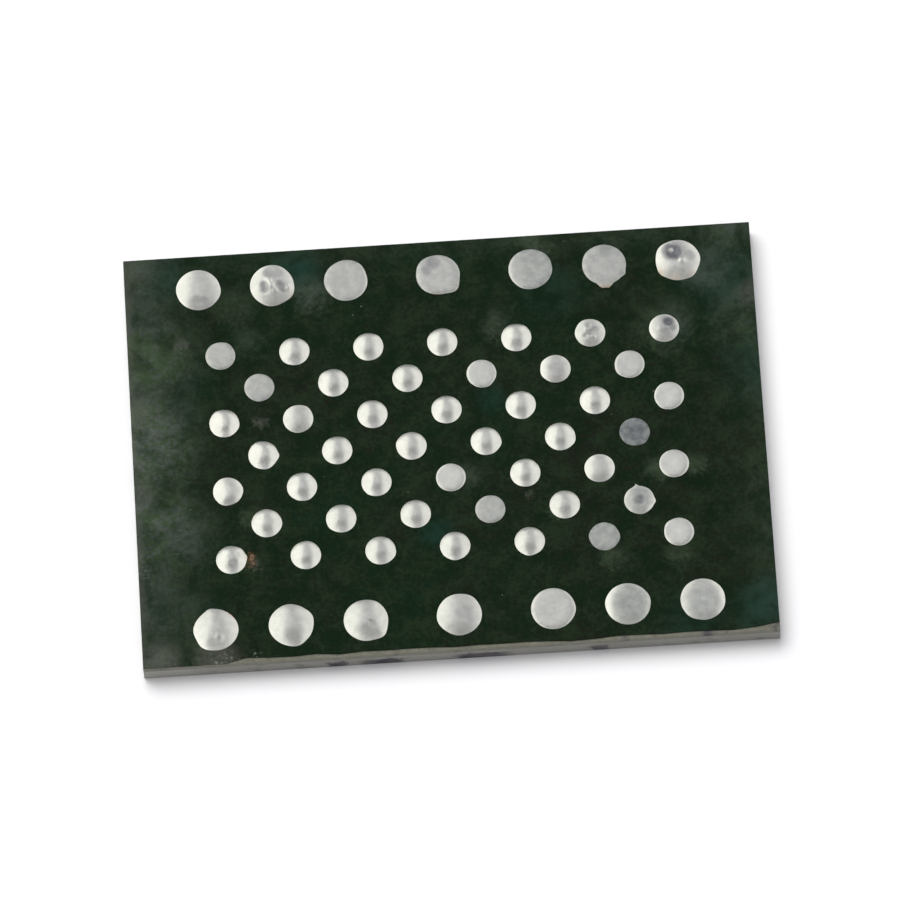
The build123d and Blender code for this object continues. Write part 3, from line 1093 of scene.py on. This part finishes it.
@dataclass
class Package:
    """The pieces that keep their CAD shape: mask, laminate, mould and what is sealed inside."""

    mask: SolderMaskFinish = SolderMaskFinish()
    laminate: LaminateFinish = LaminateFinish()
    mould: MouldFinish = MouldFinish()
    sealed_mask: FilmFinish = FilmFinish("sealed_solder_mask", (0.060, 0.078, 0.044), (0.105, 0.112, 0.078))
    copper: MetalFinish = MetalFinish("copper", (0.80, 0.36, 0.20), (0.45, 0.18, 0.10), 0.30)
    gold: MetalFinish = MetalFinish("gold_wire", (0.95, 0.70, 0.28), (0.80, 0.55, 0.20), 0.18)
    silicon: MetalFinish = MetalFinish("silicon", (0.16, 0.17, 0.19), (0.10, 0.11, 0.14), 0.14)
    film: FilmFinish = FilmFinish()

    def build(self) -> None:
        """Dress every node."""
        made = {
            "land_side_solder_mask": self.mask.make(),
            "substrate_core": self.laminate.make(),
            "mould_cap": self.mould.make(),
            "die_side_solder_mask": self.sealed_mask.make(),
        }
        made["lands_row"] = made["die_side_copper"] = made["vias"] = self.copper.make()
        made["bond_wires"] = self.gold.make()
        made["nand_die"] = self.silicon.make()
        made["die_attach_film"] = self.film.make()
        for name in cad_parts:
            stem = name.rstrip("0123456789").rstrip("_")
            if stem in made:
                dress(name, made[stem])


@dataclass
class PhotoCamera:
    """The camera of the photograph: angles in degrees, places in millimetres."""

    target: Pair = (0.025, -0.180)
    azimuth: float = 0.143
    elevation: float = 66.06
    roll: float = -3.478
    distance: float = 268.61
    focal_pixels: float = 10000.0
    frame_pixels: float = 900.0
    sensor: float = 36.0

    def build(self) -> None:
        """Make the camera."""
        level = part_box("land_side_solder_mask")[1].z
        aim = Vector((self.target[0] * MM, self.target[1] * MM, level))
        turn, climb = math.radians(self.azimuth), math.radians(self.elevation)
        forward = Vector((math.sin(turn) * math.cos(climb), math.cos(turn) * math.cos(climb),
                          -math.sin(climb)))
        data = bpy.data.cameras.new("photo_camera")
        data.sensor_width = self.sensor
        data.lens = self.focal_pixels * self.sensor / self.frame_pixels
        data.clip_start, data.clip_end = 0.01, 10.0
        camera = bpy.data.objects.new("photo_camera", data)
        bpy.context.scene.collection.objects.link(camera)
        looking = forward.to_track_quat("-Z", "Y").to_matrix().to_4x4()
        camera.matrix_world = (Matrix.Translation(aim - forward * self.distance * MM) @ looking
                               @ Matrix.Rotation(math.radians(self.roll), 4, "Z"))
        bpy.context.scene.camera = camera


@dataclass(frozen=True)
class Panel:
    """A soft panel that hangs half a metre away and only shows in reflections."""

    name: str
    lean: float
    forward: float
    width: float
    length: float
    brightness: float
    tint: Colour = (1.0, 1.0, 1.0)
    distance: float = 0.5

    def build(self) -> None:
        """Hang the panel; its lean is the angle from overhead towards +X."""
        data = bpy.data.lights.new(self.name, "AREA")
        data.shape = "RECTANGLE"
        data.size = self.width
        data.size_y = self.length
        data.energy = self.brightness * math.pi * self.width * self.length
        data.color = self.tint
        panel = bpy.data.objects.new(self.name, data)
        bpy.context.scene.collection.objects.link(panel)
        lean = math.radians(self.lean)
        panel.location = (self.distance * math.sin(lean), self.forward, self.distance * math.cos(lean))
        panel.rotation_euler = (0.0, lean, 0.0)
        panel.visible_diffuse = False


@dataclass(frozen=True)
class Card:
    """A grey card above the camera: the domes mirror it a little below their middle."""

    name: str = "grey_card"
    width: float = 0.44
    height: float = 0.27
    distance: float = 0.45
    elevation: float = 75.0
    grey: Colour = (0.36, 0.36, 0.36)

    def build(self) -> None:
        """Stand the card up, where only mirrored rays see it."""
        climb = math.radians(self.elevation)
        place = (0.0, -self.distance * math.cos(climb), self.distance * math.sin(climb))
        bpy.ops.mesh.primitive_plane_add(size=1.0, location=place, rotation=(math.pi / 2 - climb, 0.0, 0.0))
        card = bpy.context.object
        card.scale = (self.width, self.height, 1.0)
        card.name = self.name
        desk = NodeDesk(self.name)
        desk.set(Base_Color=self.grey, Roughness=0.9, Specular_IOR_Level=0.0)
        card.data.materials.append(desk.material)
        card.visible_camera = card.visible_diffuse = card.visible_shadow = False


@dataclass
class Studio:
    """White sheet, pale surroundings, one soft light from the upper left, three panels and a card."""

    sheet_size: float = 1.2
    sheet_level: float = -0.00001
    light_place: Triple = (-0.118, 0.205, 0.418)
    light_size: float = 0.42
    light_power: float = 2.15
    surround: Colour = (0.503, 0.503, 0.520)
    panels: tuple[Panel, ...] = (
        Panel("left_panel", -50.0, 0.35, 0.60, 2.2, 0.66, (1.0, 1.0, 0.88)),
        Panel("overhead_panel", -5.0, 0.27, 0.20, 0.45, 0.14),
        Panel("right_panel", 60.0, 0.35, 0.50, 2.2, 0.42, (1.0, 1.0, 0.90)),
    )

    def build(self) -> None:
        """Lay the sheet, set the surroundings and hang the lights."""
        deselect_all()
        bpy.ops.mesh.primitive_plane_add(size=self.sheet_size, location=(0.0, 0.0, self.sheet_level))
        sheet = bpy.context.object
        sheet.name = "white_sheet"
        sheet.data.materials.append(PaperFinish().make())
        bpy.ops.object.transform_apply(location=True)
        world = bpy.data.worlds.new("studio")
        world.use_nodes = True
        world.node_tree.nodes["Background"].inputs["Color"].default_value = (*self.surround, 1.0)
        bpy.context.scene.world = world
        self._soft_light()
        for panel in self.panels:
            panel.build()
        Card().build()
        view = bpy.context.scene.view_settings
        view.view_transform = "Standard"
        view.look = "None"

    def _soft_light(self) -> None:
        """Hang the light that casts the shadow; the solder doesn't mirror it."""
        data = bpy.data.lights.new("soft_light", "AREA")
        data.shape = "DISK"
        data.size = self.light_size
        data.energy = self.light_power
        light = bpy.data.objects.new("soft_light", data)
        bpy.context.scene.collection.objects.link(light)
        light.location = self.light_place
        light.rotation_euler = (-Vector(self.light_place)).to_track_quat("-Z", "Y").to_euler()
        light.visible_glossy = False


def main() -> None:
    """Build the scene."""
    logging.basicConfig(level=logging.INFO, format="%(message)s")
    PhotoCamera().build()
    Package().build()
    Solder().build()
    FluxResidue().build()
    Studio().build()


if __name__ == "__main__":
    main()
